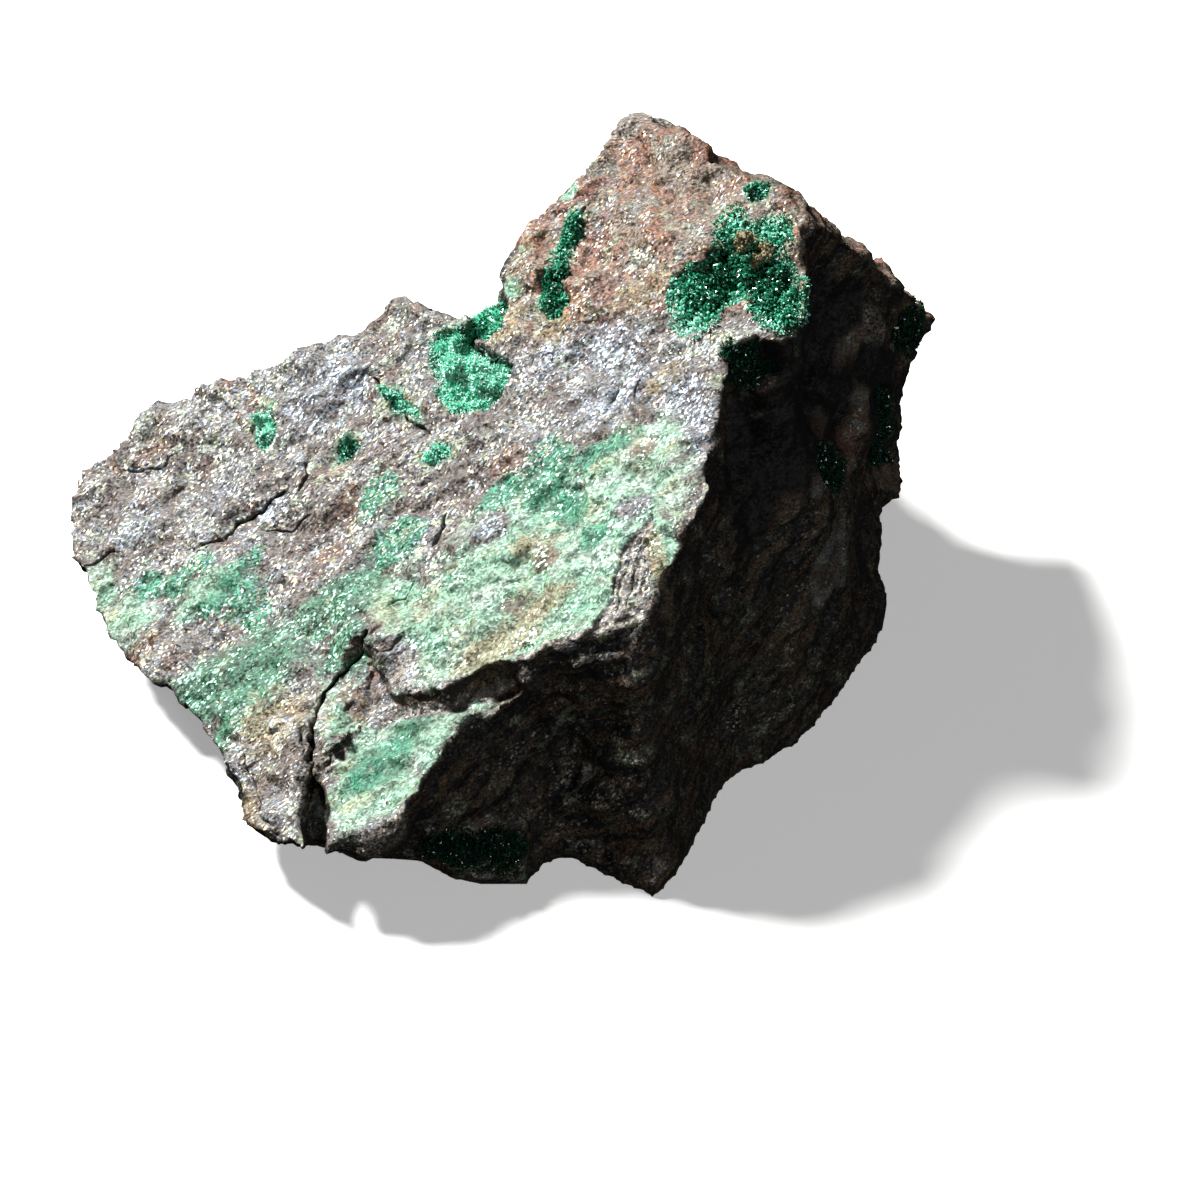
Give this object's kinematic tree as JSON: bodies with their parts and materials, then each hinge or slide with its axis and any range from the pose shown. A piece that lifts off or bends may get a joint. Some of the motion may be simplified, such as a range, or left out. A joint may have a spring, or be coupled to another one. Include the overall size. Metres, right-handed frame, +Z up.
{
  "type": "brochantite mineral specimen",
  "caption": "Loose wedge of foliated micaceous rock with a tilted cleavage face, a thin overhanging plate and hollows lined with green crystals, resting on a flat underside.",
  "frame": {"origin": "centre of the bounding box at the flat underside", "axes": "+Z up from the surface that the rock rests on, +X towards the fin at the high end of the cleavage face, -Y towards the front wall with the overhanging plate"},
  "size_m": [0.093, 0.0834, 0.0489],
  "materials": {
    "host_rock": "broken, micaceous, with metallic glints",
    "brochantite": "vitreous crystal faces"
  },
  "bodies": {
    "root": {"host_rock": "host_rock", "vug_crust": "brochantite", "cleft_crust": "brochantite", "saddle_crust": "brochantite", "streak_crust": "brochantite", "pocket_crust_1": "brochantite", "pocket_crust_2": "brochantite", "pocket_crust_3": "brochantite", "pocket_crust_4": "brochantite", "edge_crust": "brochantite", "fin_crust": "brochantite", "flank_crust": "brochantite", "wall_crust": "brochantite", "foot_crust": "brochantite"}
  },
  "joints": []
}
